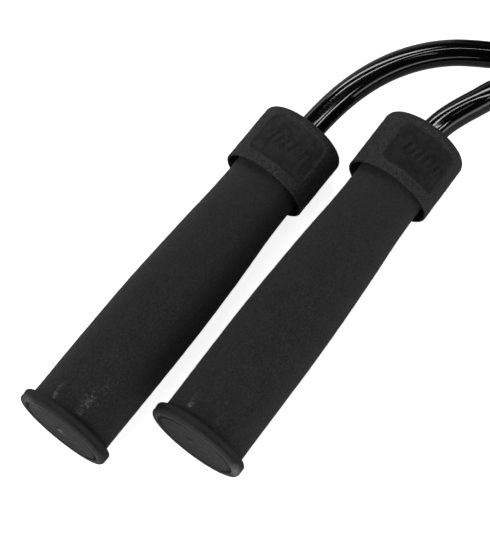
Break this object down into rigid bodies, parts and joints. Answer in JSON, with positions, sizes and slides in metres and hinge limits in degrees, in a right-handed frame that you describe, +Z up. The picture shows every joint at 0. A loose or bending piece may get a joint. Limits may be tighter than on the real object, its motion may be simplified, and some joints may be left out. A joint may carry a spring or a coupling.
{
  "type": "jump rope",
  "caption": "Jump rope with two foam-sleeved ball-bearing handles and one thick PVC rope; the spare rope is folded into a tied oval hank.",
  "frame": {"origin": "bottom centre of the box round the two handles, on the surface they lie on", "axes": "+Y along the handles towards the rope ends, +Z up, +X to the right when the rope points away"},
  "size_m": [0.0964, 0.4356, 0.038],
  "materials": {
    "foam_rubber": "matte moulded foam rubber with a very fine grain",
    "collar_rubber": "matte moulded rubber, stippled round a smoother panel",
    "cap_rubber": "satin moulded rubber, slightly greyer at the rim",
    "tube_plastic": "plain moulded plastic",
    "bearing_steel": "ground bearing steel",
    "ball_steel": "polished bearing balls",
    "cage_nylon": "moulded nylon",
    "washer_steel": "stamped steel",
    "ferrule_metal": "crimped aluminium",
    "rope_pvc": "glossy black PVC cord",
    "tie_strap": "black hook-and-loop strap"
  },
  "bodies": {
    "rope": {"rope_left_run": "rope_pvc", "rope_right_run": "rope_pvc", "rope_hank": "rope_pvc", "hank_tie_east": "tie_strap", "hank_tie_west": "tie_strap", "left_bearing_inner_race": "bearing_steel", "left_thrust_washer": "washer_steel", "left_rope_ferrule": "ferrule_metal", "right_bearing_inner_race": "bearing_steel", "right_thrust_washer": "washer_steel", "right_rope_ferrule": "ferrule_metal"},
    "left_handle": {"left_end_cap": "cap_rubber", "left_core_tube": "tube_plastic", "left_grip_sleeve": "foam_rubber", "left_nose_housing": "tube_plastic", "left_collar": "collar_rubber", "left_bearing_outer_race": "bearing_steel"},
    "right_handle": {"right_end_cap": "cap_rubber", "right_core_tube": "tube_plastic", "right_grip_sleeve": "foam_rubber", "right_nose_housing": "tube_plastic", "right_collar": "collar_rubber", "right_bearing_outer_race": "bearing_steel"},
    "left_ball_set": {"left_bearing_cage": "cage_nylon", "left_bearing_ball_1": "ball_steel", "left_bearing_ball_2": "ball_steel", "left_bearing_ball_3": "ball_steel", "left_bearing_ball_4": "ball_steel", "left_bearing_ball_5": "ball_steel", "left_bearing_ball_6": "ball_steel", "left_bearing_ball_7": "ball_steel", "left_bearing_ball_8": "ball_steel"},
    "right_ball_set": {"right_bearing_cage": "cage_nylon", "right_bearing_ball_1": "ball_steel", "right_bearing_ball_2": "ball_steel", "right_bearing_ball_3": "ball_steel", "right_bearing_ball_4": "ball_steel", "right_bearing_ball_5": "ball_steel", "right_bearing_ball_6": "ball_steel", "right_bearing_ball_7": "ball_steel", "right_bearing_ball_8": "ball_steel"}
  },
  "joints": [
    {"name": "left_handle_spin", "type": "hinge", "parent": "rope", "child": "left_handle", "pos_m": [-0.02119, -0.08403, 0.01905], "axis": [0.0125, 0.9998, -0.0134], "continuous": true},
    {"name": "right_handle_spin", "type": "hinge", "parent": "rope", "child": "right_handle", "pos_m": [0.02119, -0.06066, 0.01905], "axis": [-0.0125, 0.9998, -0.0134], "continuous": true},
    {"name": "left_ball_set_spin", "type": "hinge", "parent": "rope", "child": "left_ball_set", "pos_m": [-0.02119, -0.08403, 0.01905], "axis": [0.0125, 0.9998, -0.0134], "continuous": true},
    {"name": "right_ball_set_spin", "type": "hinge", "parent": "rope", "child": "right_ball_set", "pos_m": [0.02119, -0.06066, 0.01905], "axis": [-0.0125, 0.9998, -0.0134], "continuous": true}
  ],
  "couplings": [
    {"joint": "left_ball_set_spin", "follows": "left_handle_spin", "ratio": 0.5972},
    {"joint": "right_ball_set_spin", "follows": "right_handle_spin", "ratio": 0.5972}
  ]
}
